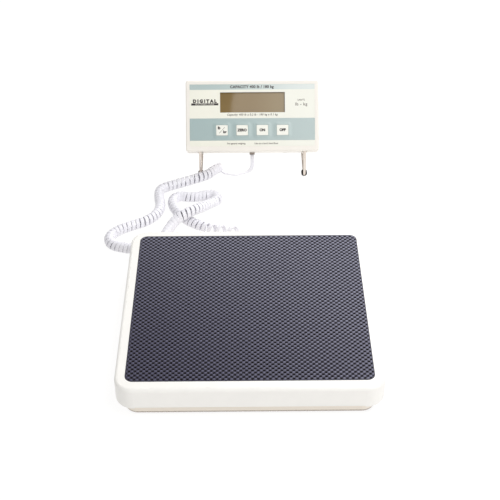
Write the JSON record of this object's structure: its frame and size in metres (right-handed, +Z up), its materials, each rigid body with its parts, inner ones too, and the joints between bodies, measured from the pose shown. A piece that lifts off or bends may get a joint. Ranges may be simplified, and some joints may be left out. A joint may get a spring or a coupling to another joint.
{
  "type": "animal weighing scale",
  "caption": "Low platform scale with a studded rubber mat on a load-cell base, and a separate tilting keypad display on a wire stand, joined by a curly cord.",
  "frame": {"origin": "on the floor at the middle of the box of the platform and the display together, without the cord", "axes": "+Z up, +X to the right of a person who stands on the platform side and reads the display, +Y from the platform towards the display"},
  "size_m": [0.3639, 0.5906, 0.1322],
  "materials": {
    "base_plastic": "fine satin moulded",
    "cover_plastic": "satin moulded white",
    "housing_plastic": "fine grained moulded off-white",
    "printed_film": "satin printed film, cream with blue-grey bands",
    "window_lens": "clear smoked lens",
    "lcd_glass": "grey-brown liquid crystal",
    "key_plastic": "satin moulded",
    "mat_rubber": "moulded studded rubber, dark blue-grey",
    "black_rubber": "matt",
    "stand_chrome": "bright plated wire",
    "cord_jacket": "soft satin vinyl",
    "clear_plug": "clear moulded",
    "socket_plastic": "black moulded",
    "circuit_board": "green solder mask",
    "deck_steel": "zinc plated",
    "cell_aluminium": "milled",
    "zinc_screw": "zinc plated",
    "nickel_contact": "nickel plated",
    "battery_can": "printed can",
    "wire_insulation": "soft vinyl"
  },
  "bodies": {
    "base": {"base_tray": "base_plastic", "rubber_feet": "black_rubber", "load_cells": "cell_aluminium", "load_cell_screws": "zinc_screw", "junction_board": "circuit_board", "junction_screws": "zinc_screw", "cell_wires": "wire_insulation", "base_socket": "socket_plastic", "base_plug": "clear_plug", "stand_wire": "stand_chrome", "stand_sleeves": "black_rubber", "display_lead": "cord_jacket", "curly_cord": "cord_jacket", "base_lead": "cord_jacket"},
    "deck": {"platform_cover": "cover_plastic", "tread_mat": "mat_rubber", "deck_plate": "deck_steel", "deck_channels": "deck_steel", "load_pads": "black_rubber", "deck_screws": "zinc_screw"},
    "display": {"front_bezel": "housing_plastic", "back_cover": "housing_plastic", "face_overlay": "printed_film", "lcd_window": "window_lens", "lcd_holder": "socket_plastic", "lcd_glass": "lcd_glass", "contact_strips": "black_rubber", "main_board": "circuit_board", "board_screws": "zinc_screw", "case_screws": "zinc_screw", "key_switches": "socket_plastic", "buzzer": "socket_plastic", "pivot_blocks": "base_plastic", "display_socket": "socket_plastic", "display_plug": "clear_plug", "power_inlet": "housing_plastic", "battery_tray": "base_plastic", "batteries": "battery_can", "battery_contacts": "nickel_contact"},
    "unit_key": {"unit_key": "key_plastic"},
    "zero_key": {"zero_key": "key_plastic"},
    "on_key": {"on_key": "key_plastic"},
    "off_key": {"off_key": "key_plastic"},
    "battery_door": {"battery_door": "housing_plastic"}
  },
  "joints": [
    {"name": "deck_travel", "type": "slide", "parent": "base", "child": "deck", "axis": [0, 0, 1], "range_m": [-0.0008, 0], "stiffness_N_per_m": 150000, "springref_m": 0.00016},
    {"name": "display_tilt", "type": "hinge", "parent": "base", "child": "display", "pos_m": [0.0077, 0.21427, 0.04953], "axis": [1, 0, 0], "range_deg": [-21, 26], "deforming": ["display_lead"]},
    {"name": "battery_door_hinge", "type": "hinge", "parent": "display", "child": "battery_door", "pos_m": [0.0077, 0.25127, 0.06075], "axis": [-1, 0, 0], "range_deg": [0, 80]},
    {"name": "unit_key_press", "type": "slide", "parent": "display", "child": "unit_key", "axis": [0, 0.7832, -0.6218], "range_m": [0, 0.0006], "stiffness_N_per_m": 600, "springref_m": -0.0008},
    {"name": "zero_key_press", "type": "slide", "parent": "display", "child": "zero_key", "axis": [0, 0.7832, -0.6218], "range_m": [0, 0.0006], "stiffness_N_per_m": 600, "springref_m": -0.0008},
    {"name": "on_key_press", "type": "slide", "parent": "display", "child": "on_key", "axis": [0, 0.7832, -0.6218], "range_m": [0, 0.0006], "stiffness_N_per_m": 600, "springref_m": -0.0008},
    {"name": "off_key_press", "type": "slide", "parent": "display", "child": "off_key", "axis": [0, 0.7832, -0.6218], "range_m": [0, 0.0006], "stiffness_N_per_m": 600, "springref_m": -0.0008}
  ]
}
